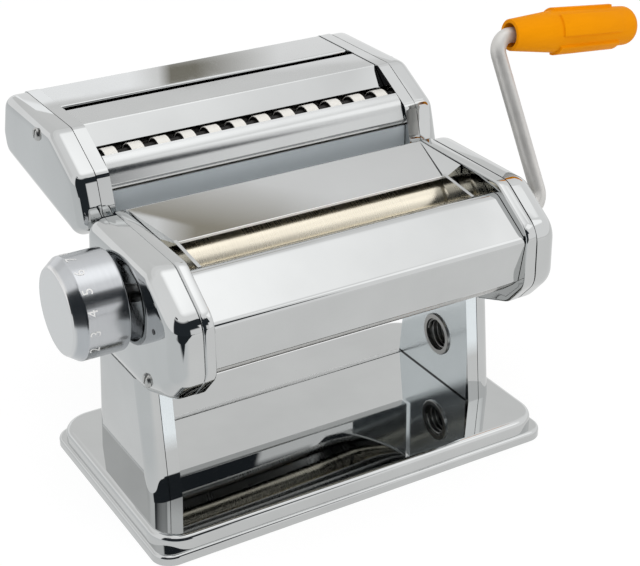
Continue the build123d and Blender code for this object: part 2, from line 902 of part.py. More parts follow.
cutter_screw_hole = (cutter_screw_y, cutter_screw_z, screw_r + push_fit)
cutter_left_cover = shell_cover(
    -1, cutter_outline, cutter_radii, cutter_cover_inner_x, cutter_cover_x, cutter_edge, [cutter_screw_hole]
)
save(cutter_left_cover, "cutter_left_cover")
crank_windows = [(y, cutter_axis_z, crank_shaft_r + shaft_window) for y in crank_axes]
cutter_right_cover = shell_cover(
    1, cutter_outline, cutter_radii, cutter_cover_inner_x, cutter_cover_x, cutter_edge,
    [cutter_screw_hole, *crank_windows],
)
save(cutter_right_cover, "cutter_right_cover")
make_screws("cutter_screws", cutter_cover_x, cutter_plate_x, cutter_screw_y, cutter_screw_z)

cutter_half = cutter_inner_x - seam
slot_front_y = nip_narrow_y - slot_width / 2
slot_rear_y = nip_narrow_y + slot_width / 2
middle_sheet = [
    middle_lip,
    (middle_front_y, cutter_top),
    (slot_front_y, cutter_top),
    (slot_front_y, cutter_top - slot_depth),
]
rear_sheet = [
    (slot_rear_y, cutter_top - slot_depth),
    (slot_rear_y, cutter_top),
    (rear_shoulder_y, cutter_top),
    *rear_skirt,
]
for name, points, radii in (
    ("cutter_middle_sheet", middle_sheet, [sheet_bend, slot_bend]),
    ("cutter_rear_sheet", rear_sheet, [slot_bend, sheet_bend, sheet_bend]),
    ("cutter_front_lip", lip_sheet, lip_radii),
    ("cutter_lower_front", lower_front_sheet, lower_front_radii),
):
    save(bent_sheet(points, radii, thin_gauge, cutter_half), name)

with BuildPart() as cutter_tie_rods:
    for rod_y, rod_z in cutter_rod_points:
        turned_bar(
            [
                (-cutter_plate_x, -cutter_inner_x, cutter_spigot_r),
                (-cutter_inner_x, cutter_inner_x, cutter_rod_r),
                (cutter_inner_x, cutter_plate_x, cutter_spigot_r),
            ],
            rod_y,
            rod_z,
        )
save(cutter_tie_rods, "cutter_tie_rods")


# Cutter rollers: discs of one run in the grooves of the other
cutter_core_half = cutter_inner_x - roller_end_gap
wide_gear_x = cutter_plate_x + gear_plane_gap
narrow_gear_x = wide_gear_x + cutter_gear_width + gear_plane_gap
cutter_crank_end = cutter_cover_x - shaft_recess


def make_cutter(name, y, gear_start, pitch, discs, sides):
    """One cutter roller: a core, evenly pitched discs and its journals, with a gear on its left end."""
    left_end = -gear_start - cutter_gear_width
    right_end = cutter_crank_end if y in crank_axes else cutter_plate_x
    disc_width = pitch / 2 - disc_play
    with BuildPart() as cutter:
        turned_bar(
            [
                (left_end, -cutter_core_half, cutter_journal_r),
                (-cutter_core_half, cutter_core_half, core_r),
                (cutter_core_half, right_end, journal_at(1, y)),
            ],
            y,
            cutter_axis_z,
        )
        for disc in range(discs):
            start = (disc - (discs - 1) / 2) * pitch - disc_width / 2
            with BuildSketch(axis_plane(start, y, cutter_axis_z)):
                if sides:
                    RegularPolygon(disc_r, sides)
                else:
                    Circle(disc_r)
            extrude(amount=disc_width)
        if y in crank_axes:
            square_socket(cutter_crank_end, socket_depth, y, cutter_axis_z)
    save(cutter, name)
    make_gear(
        f"{name}_gear", left_end, cutter_gear_width, y, cutter_axis_z, cutter_gear_teeth, pair_distance,
        cutter_addendum, cutter_journal_r,
    )


make_cutter("wide_front_cutter", wide_front_y, wide_gear_x, wide_pitch, wide_disc_count, 0)
make_cutter("wide_rear_cutter", wide_rear_y, wide_gear_x, wide_pitch, wide_disc_count - 1, 0)
make_cutter("narrow_front_cutter", narrow_front_y, narrow_gear_x, narrow_pitch, narrow_disc_count, narrow_side_count)
make_cutter("narrow_rear_cutter", narrow_rear_y, narrow_gear_x, narrow_pitch, narrow_disc_count - 1, narrow_side_count)


def make_comb(name, y, pitch, discs):
    """A stripper bar whose fingers stand in the grooves under a cutter."""
    finger_width = pitch / 2 - disc_play
    finger_top = cutter_axis_z - core_r - sliding
    with BuildPart() as comb:
        with BuildSketch(axis_plane(-cutter_half)):
            with Locations((y + comb_offset, comb_z)):
                Rectangle(comb_width, comb_height)
        extrude(amount=2 * cutter_half)
        for finger in range(discs - 1):
            middle = (finger - (discs - 2) / 2) * pitch
            with BuildSketch(axis_plane(middle - finger_width / 2)):
                with Locations((y + finger_offset, (comb_z + finger_top) / 2)):
                    Rectangle(finger_depth, finger_top - comb_z)
            extrude(amount=finger_width)
    save(comb, name)


make_comb("wide_comb", wide_front_y, wide_pitch, wide_disc_count)
make_comb("narrow_comb", narrow_front_y, narrow_pitch, narrow_disc_count)
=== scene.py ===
"""Looks of the hand-cranked pasta machine: polished sheet, satin rollers, marked knob and moulded grip."""

import math

import bpy
from mathutils import Matrix, Vector


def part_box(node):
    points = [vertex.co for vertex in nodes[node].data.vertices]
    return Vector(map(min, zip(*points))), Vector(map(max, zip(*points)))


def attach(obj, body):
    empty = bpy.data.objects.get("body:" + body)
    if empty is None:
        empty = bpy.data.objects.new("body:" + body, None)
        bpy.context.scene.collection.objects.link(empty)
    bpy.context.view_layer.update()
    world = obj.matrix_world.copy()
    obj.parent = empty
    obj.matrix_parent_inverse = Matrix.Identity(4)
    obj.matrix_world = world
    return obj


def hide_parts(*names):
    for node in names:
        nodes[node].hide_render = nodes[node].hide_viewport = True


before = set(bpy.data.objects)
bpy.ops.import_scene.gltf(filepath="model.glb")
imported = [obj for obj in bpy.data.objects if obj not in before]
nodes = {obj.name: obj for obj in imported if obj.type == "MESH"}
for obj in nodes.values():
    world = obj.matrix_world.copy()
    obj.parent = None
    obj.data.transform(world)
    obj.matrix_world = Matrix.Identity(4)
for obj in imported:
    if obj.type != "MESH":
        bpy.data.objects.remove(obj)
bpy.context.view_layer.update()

MM = 0.001

# Places and sizes on the machine, in millimetres, in the frame of the CAD
KNOB_Y, KNOB_Z, KNOB_R = -15.9, 107.8, 22.0
KNOB_HOLE_R = 6.52
NUMERAL_X, NUMERAL_SIZE, NUMERAL_RAISED = -111.6, 6.2, 0.12
NUMERALS = 8
NUMERAL_START, NUMERAL_STEP = -51.5, 23.0  # degrees round the knob
INDEX_Y, INDEX_Z, INDEX_R = -51.6, 107.7, 1.15
DRIVE_Y, AXIS_Z = -40.5, 110.5
LEFT_BUSH_R, RIGHT_BUSH_R, CRANK_HOLE_R = 8.02, 9.02, 9.0
PLATE_INNER_X, PLATE_MIDDLE_X, PLATE_OUTER_X = 75.0, 77.5, 80.3
PLATE_INNER_ROUND, LEFT_PLATE_ROUND, RIGHT_PLATE_ROUND = 1.1, 1.5, 0.5
SLOT_Y, SLOT_Z, SLOT_WIDE, SLOT_HIGH = -12.15, 104.0, 20.7, 29.6
TIE_ROD_PLACES, TIE_ROD_HOLE_R = [(-52.0, 86.0), (9.0, 84.0), (8.5, 122.5)], 3.05
COVER_SEAM_X, COVER_X, COVER_ROUND = 80.6, 93.0, 8.0
COVER_SCREW_Y, COVER_SCREW_Z = -42.0, 81.0
CUTTER_SEAM_X, CUTTER_COVER_X, CUTTER_ROUND = 81.5, 92.0, 5.5
CUTTER_SCREW_Y, CUTTER_SCREW_Z = 66.0, 151.6
SCREW_HOLE_R = 1.65
COVER_WALL = 1.0
COVER_SCREW_HOLE = (COVER_SCREW_Y, COVER_SCREW_Z, SCREW_HOLE_R)
CUTTER_SCREW_HOLE = (CUTTER_SCREW_Y, CUTTER_SCREW_Z, SCREW_HOLE_R)
WIDE_SOCKET_Y, NARROW_SOCKET_Y, CUTTER_SOCKET_Z, CUTTER_SOCKET_R = 41.5, 70.5, 141.0, 7.5
HEAD_HOLES = {
    "left": [(KNOB_Y, KNOB_Z, KNOB_HOLE_R), COVER_SCREW_HOLE],
    "right": [(DRIVE_Y, AXIS_Z, CRANK_HOLE_R), COVER_SCREW_HOLE],
}
CUTTER_HOLES = {
    "left": [CUTTER_SCREW_HOLE],
    "right": [
        CUTTER_SCREW_HOLE,
        (WIDE_SOCKET_Y, CUTTER_SOCKET_Z, CUTTER_SOCKET_R),
        (NARROW_SOCKET_Y, CUTTER_SOCKET_Z, CUTTER_SOCKET_R),
    ],
}
GRIP_CORNER, GRIP_AXIS = (106.4, 1.77, 179.479), (0.9954, -0.0501, -0.0817)
SOCKET_X, SOCKET_Y, SOCKET_Z, SOCKET_R = 75.1, -3.3, 36.0, 8.0
LEG_EDGE_Y = (-28.8, -28.0)  # where the polish of a leg's front edge ends
KNOB_FACE_X = (-118.2, -119.2)  # where the knob's rim turns into its face

# Outlines of the head and of the cutter unit, as Y, Z and radius of each corner
HEAD_CORNERS = [
    (16.0, 132.0, 9.0), (-47.5, 132.0, 12.0), (-70.5, 116.3, 13.0), (-70.5, 91.0, 12.0),
    (-58.5, 78.0, 14.0), (-36.0, 70.0, 12.0), (24.0, 70.0, 9.0),
]
PLATE_RADII = [5.0, 8.0, 10.0, 10.0, 10.0, 9.0, 5.0]
CUTTER_CORNERS = [
    (109.0, 157.2, 8.0), (51.0, 157.2, 10.0), (27.0, 144.0, 8.0), (24.6, 136.0, 8.0),
    (20.8, 122.0, 6.5), (32.0, 114.8, 8.0), (113.5, 126.5, 8.0), (116.0, 138.0, 9.0),
]

# Tones
CHROME_TONE = (0.575, 0.585, 0.585)
JOINT_BLACK = (0.03, 0.032, 0.034)
# Painted highlight: white for the hopper's front lip.
LIP_HIGHLIGHT_WHITE = (0.95, 0.95, 0.94)
DARK_ROOM = (0.025, 0.03, 0.035)

NOISE_RANGE = (0.3, 0.7)  # holds most of what a noise texture gives
SMOOTH_ANGLE = 32.0


# Shader maths
class Value:
    """A socket of a material that takes part in Python expressions."""

    def __init__(self, paint, socket):
        self.paint = paint
        self.socket = socket

    def _math(self, operation, first, second):
        return self.paint.node("ShaderNodeMath", {"operation": operation}, {0: first, 1: second})

    def __add__(self, other):
        return self._math("ADD", self, other)

    def __radd__(self, other):
        return self._math("ADD", other, self)

    def __sub__(self, other):
        return self._math("SUBTRACT", self, other)

    def __rsub__(self, other):
        return self._math("SUBTRACT", other, self)

    def __mul__(self, other):
        return self._math("MULTIPLY", self, other)

    def __rmul__(self, other):
        return self._math("MULTIPLY", other, self)

    def __abs__(self):
        return self._math("ABSOLUTE", self, 0.0)

    def __neg__(self):
        return self._math("MULTIPLY", self, -1.0)


class Paint:
    """One node material, or the world, built a node at a time."""

    def __init__(self, name, world=None):
        self.material = world or bpy.data.materials.new(name)
        self.material.use_nodes = True
        self.tree = self.material.node_tree
        self.tree.nodes.clear()

    def node(self, kind, settings=None, sockets=None, out=0):
        """Adds a node, sets it up, feeds its sockets and returns one of its outputs."""
        made = self.tree.nodes.new(kind)
        for key, setting in (settings or {}).items():
            setattr(made, key, setting)
        for key, value in (sockets or {}).items():
            if isinstance(value, Value):
                self.tree.links.new(value.socket, made.inputs[key])
            else:
                made.inputs[key].default_value = value
        return Value(self, made.outputs[out]) if made.outputs else None

    def place(self, scale=(1.0, 1.0, 1.0), turn=(0.0, 0.0, 0.0)):
        """Object coordinates, stretched and turned."""
        where = self.node("ShaderNodeTexCoord", out="Object")
        return self.node("ShaderNodeMapping", None, {"Vector": where, "Scale": scale, "Rotation": turn})

    def noise(self, where, scale, detail=3.0, roughness=0.55):
        sockets = {"Vector": where, "Scale": scale, "Detail": detail, "Roughness": roughness}
        return self.node("ShaderNodeTexNoise", None, sockets)

    def span(self, value, low, high, to_low, to_high):
        """A value carried from one range to another, held at the ends."""
        sockets = {"Value": value, "From Min": low, "From Max": high, "To Min": to_low, "To Max": to_high}
        return self.node("ShaderNodeMapRange", None, sockets)

    def rise(self, value, start, end):
        """0 up to the start, 1 from the end on."""
        return self.span(value, start, end, 0.0, 1.0)

    def fall(self, value, start, end):
        """1 up to the start, 0 from the end on."""
        return self.span(value, start, end, 1.0, 0.0)

    def near(self, value, middle, whole, none):
        """1 around a middle as far as whole, fading to 0 at none."""
        return self.fall(abs(value - middle), whole, none)

    def vary(self, pattern, low, high):
        """A value that wanders between two others with a noise pattern."""
        return self.span(pattern, *NOISE_RANGE, low, high)

    def tint(self, factor, first, second):
        first, second = [c if isinstance(c, Value) else (*c, 1.0) for c in (first, second)]
        return self.node("ShaderNodeMix", {"data_type": "RGBA"}, {0: factor, 6: first, 7: second}, out=2)

    def mottle(self, pattern, deep, light):
        """A colour that wanders between two tones with a noise pattern."""
        return self.tint(self.vary(pattern, 0.0, 1.0), deep, light)

    def parts(self, value):
        """All the outputs of the node that a value comes from."""
        return [Value(self, part) for part in value.socket.node.outputs]

    def axes(self, vector):
        """The three parts of a vector."""
        return self.parts(self.node("ShaderNodeSeparateXYZ", None, {"Vector": vector}))

    def bump(self, height, strength, distance):
        return self.node("ShaderNodeBump", None, {"Height": height, "Strength": strength, "Distance": distance})

    def surface(self, **sockets):
        """The finished surface. Socket names have underscores for spaces."""
        named = {key.replace("_", " "): value for key, value in sockets.items()}
        shader = self.node("ShaderNodeBsdfPrincipled", None, named)
        self.node("ShaderNodeOutputMaterial", None, {"Surface": shader})
        return self.material


# Finishes
def shade(tone, factor):
    """A tone made deeper or lighter."""
    return tuple(min(1.0, part * factor) for part in tone)


def wiping_marks(paint):
    """Roughness along the faint slanting marks of a cloth."""
    wipes = paint.noise(paint.place(scale=(1.0, 0.22, 0.22), turn=(0.3, 0.2, 0.5)), 260.0, detail=4.0)
    return paint.span(wipes, 0.55, 0.8, 0.0, 0.03)


def polished_sheet(name, tone, haze=0.012, flat_top=None):
    """Chromed sheet: mirror finish with wiping marks, dust and the slight waves of a pressing.

    A flat top, given by its height, is a little whiter than the bends and edges below it.
    """
    paint = Paint(name)
    where = paint.place()
    cloud = paint.noise(where, 22.0)
    dust = paint.noise(where, 900.0, detail=2.0)
    ripple = paint.noise(where, 16.0, detail=1.0)
    metal = 1.0
    if flat_top is not None:
        _, _, z = paint.axes(where)
        metal = 1.0 - 0.22 * paint.rise(z, flat_top - 0.3 * MM, flat_top - 0.1 * MM)
    rough = paint.span(cloud, 0.3, 0.75, haze, haze + 0.025) + wiping_marks(paint)
    return paint.surface(
        Base_Color=paint.mottle(cloud, shade(tone, 0.95), shade(tone, 1.04)),
        Metallic=metal,
        Roughness=rough + paint.span(dust, 0.62, 0.85, 0.0, 0.05),
        Normal=paint.bump(ripple, 0.035, 1.2 * MM),
    )


def turned_metal(name, tone, haze, rings, depth):
    """Metal turned about the X axis, with fine rings along its length."""
    paint = Paint(name)
    lathe = paint.noise(paint.place(scale=(1.0, 0.012, 0.012)), rings, detail=2.0, roughness=0.6)
    cloud = paint.noise(paint.place(), 45.0)
    return paint.surface(
        Base_Color=paint.mottle(lathe, shade(tone, 1.0 - depth), shade(tone, 1.05)),
        Metallic=1.0,
        Roughness=paint.vary(cloud, haze, haze + 0.07) + paint.span(lathe, 0.4, 0.8, 0.0, 0.06),
        Normal=paint.bump(lathe, 0.5 * depth, 0.3 * MM),
    )


def satin_bar(name, tone, metal, haze):
    """Drawn steel rod with a blasted satin finish."""
    paint = Paint(name)
    grain = paint.noise(paint.place(), 1400.0, detail=2.0)
    cloud = paint.noise(paint.place(), 60.0)
    return paint.surface(
        Base_Color=paint.mottle(cloud, shade(tone, 0.92), shade(tone, 1.06)),
        Metallic=metal,
        Roughness=paint.vary(cloud, haze, haze + 0.08) + paint.vary(grain, 0.0, 0.06),
        Normal=paint.bump(grain, 0.08, 0.2 * MM),
    )


def satin_sheet(name, tone, metal, haze):
    """Sheet with a fine blasted finish, which mirrors only softly."""
    paint = Paint(name)
    grain = paint.noise(paint.place(), 1800.0, detail=2.0)
    cloud = paint.noise(paint.place(), 30.0)
    return paint.surface(
        Base_Color=paint.mottle(cloud, shade(tone, 0.95), shade(tone, 1.03)),
        Metallic=metal,
        Roughness=paint.vary(cloud, haze, haze + 0.05) + paint.vary(grain, 0.0, 0.05),
        Normal=paint.bump(grain, 0.05, 0.2 * MM),
    )


def moulded_plastic(name, tone, deep, haze, shine):
    """Moulded plastic with a fine spark-eroded grain and slight flow marks."""
    paint = Paint(name)
    grain = paint.noise(paint.place(), 2200.0, detail=2.0)
    flow = paint.noise(paint.place(scale=(0.35, 1.0, 1.0)), 70.0)
    return paint.surface(
        Base_Color=paint.tint(paint.rise(flow, 0.35, 0.7), tone, deep),
        Roughness=paint.vary(flow, haze, haze + 0.06) + paint.vary(grain, 0.0, 0.08),
        Specular_IOR_Level=shine,
        Normal=paint.bump(grain, 0.07, 0.2 * MM),
    )


def printed_ink(name, tone):
    """Thin opaque ink with a slightly uneven print."""
    paint = Paint(name)
    print_grain = paint.noise(paint.place(), 1600.0, detail=2.0)
    return paint.surface(
        Base_Color=paint.tint(paint.rise(print_grain, 0.4, 0.7), tone, shade(tone, 0.9)),
        Roughness=paint.vary(print_grain, 0.4, 0.55),
    )


def leg_sheet(name, bright, tone, foot):
    """Channel of a leg: polished front edge, blasted satin behind it and a dark joint along its foot."""
    paint = Paint(name)
    where = paint.place()
    _, y, z = paint.axes(where)
    cloud = paint.noise(where, 30.0)
    grain = paint.noise(where, 1500.0, detail=2.0)
    inside = paint.rise(y, LEG_EDGE_Y[0] * MM, LEG_EDGE_Y[1] * MM)
    joint = paint.fall(z, foot + 0.5 * MM, foot + 1.0 * MM)
    satin = paint.mottle(cloud, shade(tone, 0.96), tone)
    return paint.surface(
        Base_Color=paint.tint(joint * inside, paint.tint(inside, bright, satin), JOINT_BLACK),
        Metallic=1.0 - 0.2 * inside,
        Roughness=0.04 + inside * (0.10 + paint.vary(grain, 0.0, 0.06)),
    )


def hopper_sheet(name, tone, lip):
    """Chromed slope of the hopper, with a painted highlight along its front lip, made white and matt there."""
    paint = Paint(name)
    where = paint.place()
    _, y, _ = paint.axes(where)
    cloud = paint.noise(where, 22.0)
    # Painted highlight: the front lip is made white and matt.
    lit_part = paint.fall(y, lip + 0.3 * MM, lip + 0.7 * MM)
    plated = paint.mottle(cloud, shade(tone, 0.95), tone)
    return paint.surface(
        Base_Color=paint.tint(lit_part, plated, LIP_HIGHLIGHT_WHITE),
        Metallic=0.78 - 0.68 * lit_part,
        Roughness=0.012 + wiping_marks(paint) + 0.4 * lit_part,
    )


def knob_plate(name, face_tone, rim_tone):
    """Satin chrome of the knob: a bright flat face and a slightly deeper rim with fine turning marks."""
    paint = Paint(name)
    where = paint.place()
    x, _, _ = paint.axes(where)
    lathe = paint.noise(paint.place(scale=(1.0, 0.02, 0.02)), 2400.0, detail=2.0)
    cloud = paint.noise(where, 40.0)
    face = paint.rise(x, KNOB_FACE_X[0] * MM, KNOB_FACE_X[1] * MM)
    rim = paint.mottle(lathe, shade(rim_tone, 0.95), rim_tone)
    return paint.surface(
        Base_Color=paint.tint(face, rim, face_tone),
        Metallic=1.0,
        Roughness=paint.vary(cloud, 0.15, 0.2),
    )


def cutting_discs(name, tone, deep, node):
    """Cutting roller: pale crests on its discs, with painted shade, near black, in the grooves between them."""
    paint = Paint(name)
    where = paint.place()
    _, y, z = paint.axes(where)
    low, high = [Vector(corner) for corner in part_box(node)]
    middle, crest = (low + high) / 2, (high.z - low.z) / 2
    across, along = y - middle.y, z - middle.z
    reach = across * across + along * along
    # Painted shade: the grooves between the crests are near black; the crests stay pale.
    lit_part = paint.rise(reach, (0.93 * crest) ** 2, (0.965 * crest) ** 2)
    cloud = paint.noise(where, 60.0)
    pale = paint.tint(cloud, shade(tone, 0.95), tone)
    return paint.surface(
        Base_Color=paint.tint(lit_part, deep, pale),
        Metallic=paint.span(lit_part, 0.0, 1.0, 0.9, 0.2),
        Roughness=paint.vary(cloud, 0.42, 0.5),
    )


chrome = polished_sheet("chrome_sheet", CHROME_TONE)
lip_chrome = polished_sheet("lip_chrome", CHROME_TONE, haze=0.13)
hopper_chrome = hopper_sheet("hopper_chrome", (0.59, 0.60, 0.60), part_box("rear_hopper")[0][1])
chrome_knob = knob_plate("chrome_knob", (0.74, 0.74, 0.74), (0.55, 0.565, 0.585))
panel_satin = satin_sheet("panel_satin", (0.60, 0.65, 0.68), metal=0.35, haze=0.30)
leg_satin = leg_sheet("leg_satin", CHROME_TONE, (0.88, 0.94, 0.97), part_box("right_leg_panel")[0][2])
steel = turned_metal("machined_steel", (0.50, 0.50, 0.49), haze=0.24, rings=2600.0, depth=0.12)
roller_satin = turned_metal("roller_satin", (0.77, 0.715, 0.595), haze=0.22, rings=3000.0, depth=0.06)
# The deep tone is painted shade for the grooves between the discs.
cutter_satin = cutting_discs("cutter_satin", (0.90, 0.88, 0.83), (0.03, 0.028, 0.027), "wide_front_cutter")
# Painted shade: these cutters, deep in the cutter unit, get a near-black tone in place of steel's own grey.
shaded_cutter_steel = turned_metal("shaded_cutter_steel", (0.09, 0.086, 0.08), haze=0.38, rings=2600.0, depth=0.1)
rod_satin = satin_bar("satin_rod", (0.66, 0.65, 0.63), metal=0.75, haze=0.42)
bar_satin = satin_bar("bar_satin", (0.56, 0.57, 0.57), metal=0.8, haze=0.22)
comb_plastic = moulded_plastic(
    "pale_plastic", (0.30, 0.29, 0.27), (0.25, 0.24, 0.22), haze=0.35, shine=0.4
)
grip_plastic = moulded_plastic(
    "orange_plastic", (0.92, 0.325, 0.0002), (0.86, 0.292, 0.0002), haze=0.45, shine=0.06
)
white_ink = printed_ink("white_ink", (0.86, 0.86, 0.85))
dark_ink = printed_ink("dark_ink", (0.05, 0.05, 0.055))

STEEL_NODES = (
    "clamp_socket", "tie_rods", "cover_screws", "cutter_screws", "cutter_tie_rods", "roller_bushes",
    "spindle_bush", "left_bearing_block", "right_bearing_block", "cradle_bar", "rear_scraper",
    "regulator_yoke", "regulator_spindle", "knob_spring", "front_scraper",
)
finishes = {name: steel if name.endswith("_gear") else chrome for name in nodes}
for finish, names in (
    (steel, STEEL_NODES),
    (roller_satin, ("drive_roller", "driven_roller")),
    (shaded_cutter_steel, ("wide_rear_cutter", "narrow_front_cutter", "narrow_rear_cutter")),
    (cutter_satin, ("wide_front_cutter",)),
    (comb_plastic, ("wide_comb", "narrow_comb")),
    (leg_satin, ("left_leg_panel", "right_leg_panel")),
    (panel_satin, ("cutter_lower_front",)),
    (lip_chrome, ("cutter_front_lip",)),
    (hopper_chrome, ("rear_hopper",)),
    (chrome_knob, ("knob",)),
    (rod_satin, ("crank_rod",)),
    (grip_plastic, ("crank_grip",)),
):
    finishes.update(dict.fromkeys(names, finish))
for name in ("cutter_rear_sheet", "cutter_middle_sheet"):
    finishes[name] = polished_sheet(f"{name}_chrome", CHROME_TONE, flat_top=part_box(name)[1][2])
for name, finish in finishes.items():
    nodes[name].data.materials.clear()
    nodes[name].data.materials.append(finish)


# Ways of working a piece
def use_only(piece):
    """Makes a piece the only one that is selected."""
    bpy.ops.object.select_all(action="DESELECT")
    piece.select_set(True)
    bpy.context.view_layer.objects.active = piece


def settle(piece, name, body, finish):
    """Puts a piece's place into its mesh, finishes it and fixes it to its body."""
    use_only(piece)
    bpy.ops.object.transform_apply(location=True, rotation=True, scale=True)
    piece.name = name
    piece.data.name = name
    piece.data.materials.clear()
    piece.data.materials.append(finish)
    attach(piece, body)


def pick_faces(piece, wanted):
    """Selects the faces that pass a test on their middle and normal."""
    bpy.ops.object.mode_set(mode="EDIT")
    bpy.ops.mesh.select_mode(type="FACE")
    bpy.ops.mesh.select_all(action="DESELECT")
    bpy.ops.object.mode_set(mode="OBJECT")
    for face in piece.data.polygons:
        face.select = wanted(face.center, face.normal)
    bpy.ops.object.mode_set(mode="EDIT")


def smooth(piece, angle=SMOOTH_ANGLE):
    use_only(piece)
    bpy.ops.object.shade_smooth_by_angle(angle=math.radians(angle))


def soften(piece, width, segments, angle):
    """Rounds the edges that are sharper than an angle."""
    use_only(piece)
    soft = piece.modifiers.new("soft", "BEVEL")
    soft.width = width * MM
    soft.segments = segments
    soft.limit_method = "ANGLE"
    soft.angle_limit = math.radians(angle)
    bpy.ops.object.modifier_apply(modifier="soft")


def carve(piece, cutter):
    """Cuts one shape out of a piece and takes the shape away."""
    use_only(piece)
    cut = piece.modifiers.new("cut", "BOOLEAN")
    cut.operation = "DIFFERENCE"
    cut.object = cutter
    bpy.ops.object.modifier_apply(modifier="cut")
    bpy.data.objects.remove(cutter)


def carve_box(piece, middle, size, turn=0.0):
    """Cuts a box out of a piece, turned about X. Its middle and size are in metres."""
    bpy.ops.object.select_all(action="DESELECT")
    bpy.ops.mesh.primitive_cube_add(size=1.0, location=middle)
    box = bpy.context.active_object
    box.scale = size
    box.rotation_euler = (turn, 0.0, 0.0)
    carve(piece, box)


def drill(piece, y, z, radius, x, reach):
    """Cuts a round hole along X, reach long, with its middle at x."""
    bpy.ops.object.select_all(action="DESELECT")
    bpy.ops.mesh.primitive_cylinder_add(
        vertices=64, radius=radius * MM, depth=reach * MM, location=(x * MM, y * MM, z * MM),
        rotation=(0.0, math.pi / 2, 0.0),
    )
    carve(piece, bpy.context.active_object)


def rounded_outline(corners, steps=7):
    """Points along a closed outline, each corner turned through its radius."""
    points = []
    for index, (y, z, radius) in enumerate(corners):
        here = Vector((y, z))
        before = (Vector(corners[index - 1][:2]) - here).normalized()
        after = (Vector(corners[(index + 1) % len(corners)][:2]) - here).normalized()
        half = before.angle(after) / 2
        centre = here + (before + after).normalized() * (radius / math.sin(half))
        start = here + before * (radius / math.tan(half)) - centre
        sweep = start.angle_signed(here + after * (radius / math.tan(half)) - centre)
        for step in range(steps + 1):
            turn = -sweep * step / steps
            spoke = Vector((
                start.x * math.cos(turn) - start.y * math.sin(turn),
                start.x * math.sin(turn) + start.y * math.cos(turn),
            ))
            points.append(centre + spoke)
    return points


def outline_block(points, near_x, far_x):
    """A block with the outline's shape between two places along X."""
    bpy.ops.object.select_all(action="DESELECT")
    bpy.ops.mesh.primitive_circle_add(vertices=len(points), radius=1.0, fill_type="NGON")
    block = bpy.context.active_object
    for vertex, (y, z) in zip(block.data.vertices, points):
        vertex.co = (near_x * MM, y * MM, z * MM)
    bpy.ops.object.mode_set(mode="EDIT")
    bpy.ops.mesh.select_all(action="SELECT")
    bpy.ops.mesh.extrude_region_move(TRANSFORM_OT_translate={"value": ((far_x - near_x) * MM, 0.0, 0.0)})
    bpy.ops.mesh.select_all(action="SELECT")
    bpy.ops.mesh.normals_make_consistent(inside=False)
    bpy.ops.object.mode_set(mode="OBJECT")
    return block


def round_rim(piece, x, radius, segments):
    """Rounds the edge around the end face at one place along X."""
    pick_faces(piece, lambda middle, normal: abs(normal.x) > 0.9 and abs(middle.x - x * MM) < 0.1 * MM)
    bpy.ops.mesh.bevel(offset=radius * MM, segments=segments, affect="EDGES", clamp_overlap=False)
    bpy.ops.object.mode_set(mode="OBJECT")


# Pieces
def pressed_cover(name, corners, inner_x, outer_x, edge, holes, body, node):
    """A drawn shell with a wide round at its edge, open towards the side plate."""
    shell = outline_block(rounded_outline(corners), inner_x, outer_x)
    round_rim(shell, outer_x, edge, segments=8)
    pick_faces(shell, lambda middle, normal: abs(middle.x - inner_x * MM) < 0.1 * MM)
    bpy.ops.mesh.delete(type="FACE")
    bpy.ops.object.mode_set(mode="OBJECT")
    wall = shell.modifiers.new("wall", "SOLIDIFY")
    wall.thickness = COVER_WALL * MM
    wall.offset = -1.0
    bpy.ops.object.modifier_apply(modifier="wall")
    for y, z, radius in holes:
        drill(shell, y, z, radius, outer_x, reach=8.0)
    smooth(shell)
    settle(shell, name, body, chrome)
    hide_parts(node)


def rounded_plate(name, side, outer_round, bush_r, node):
    """A side plate with rounded edges, pierced as the CAD plate is."""
    through = 20.0
    corners = [(y, z, radius) for (y, z, _), radius in zip(HEAD_CORNERS, PLATE_RADII)]
    plate = outline_block(rounded_outline(corners), side * PLATE_INNER_X, side * PLATE_OUTER_X)
    round_rim(plate, side * PLATE_OUTER_X, outer_round, segments=4)
    round_rim(plate, side * PLATE_INNER_X, PLATE_INNER_ROUND, segments=4)
    drill(plate, DRIVE_Y, AXIS_Z, bush_r, side * PLATE_MIDDLE_X, through)
    for y, z in TIE_ROD_PLACES:
        drill(plate, y, z, TIE_ROD_HOLE_R, side * PLATE_MIDDLE_X, through)
    slot_middle = Vector((side * PLATE_MIDDLE_X, SLOT_Y, SLOT_Z)) * MM
    carve_box(plate, slot_middle, Vector((through, SLOT_WIDE, SLOT_HIGH)) * MM)
    smooth(plate)
    settle(plate, name, "stand", chrome)
    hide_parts(node)


def rear_apron():
    """The sheet down the back, from the hopper's skirt to a folded edge well above the base."""
    low, top, half = 38.5, 91.4, 74.8
    front, rear, fold, gauge = 20.3, 21.5, 4.0, 1.2
    profile = [
        (rear, low), (front, low), (front, top), (rear, top),
        (rear, low + gauge), (rear + fold, low + gauge), (rear + fold, low),
    ]
    sheet = outline_block(profile, -half, half)
    soften(sheet, width=0.4, segments=3, angle=40.0)
    smooth(sheet)
    settle(sheet, "rear_apron", "stand", chrome)
    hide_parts("back_panel")


def stand_tie_bar():
    """The flat bar that joins the feet of the two legs across the back of the base."""
    front, rear, low, top, half = 27.6, 30.6, 11.4, 11.65, 75.8
    bar = outline_block([(front, low), (front, top), (rear, top), (rear, low)], -half, half)
    soften(bar, width=0.1, segments=2, angle=30.0)
    smooth(bar)
    settle(bar, "stand_tie_bar", "stand", bar_satin)


